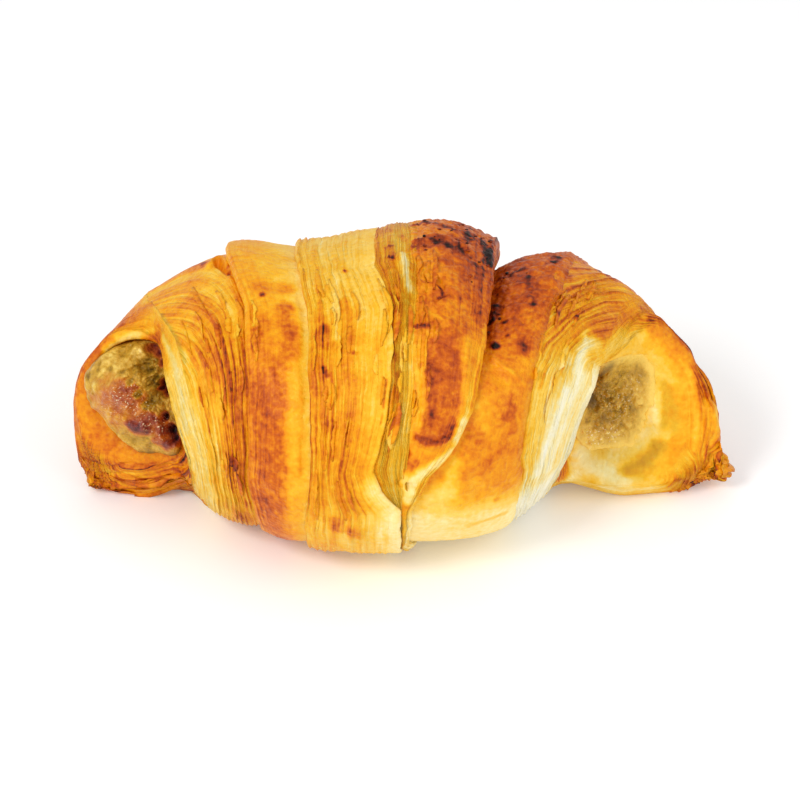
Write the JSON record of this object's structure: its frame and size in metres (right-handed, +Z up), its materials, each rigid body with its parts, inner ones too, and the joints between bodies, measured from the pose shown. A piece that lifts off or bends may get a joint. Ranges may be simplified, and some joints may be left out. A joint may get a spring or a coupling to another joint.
{
  "type": "pistachio-filled croissant",
  "caption": "Baked croissant of rolled flaky dough lying on its base, with open ends that show a green nut filling running through it.",
  "frame": {"origin": "middle of the base, on the surface the croissant lies on", "axes": "+X along the croissant to the viewer's right, +Y away from the viewer, +Z up"},
  "size_m": [0.1518, 0.0818, 0.0657],
  "materials": {
    "dough": "egg-washed baked crust, pale cream to golden, orange and dark brown, with flaky layer lines and a soft sheen",
    "filling": "lumpy moist pistachio cream, olive green, baked brown where it stands out"
  },
  "bodies": {
    "root": {"dough": "dough", "filling": "filling"}
  },
  "joints": []
}
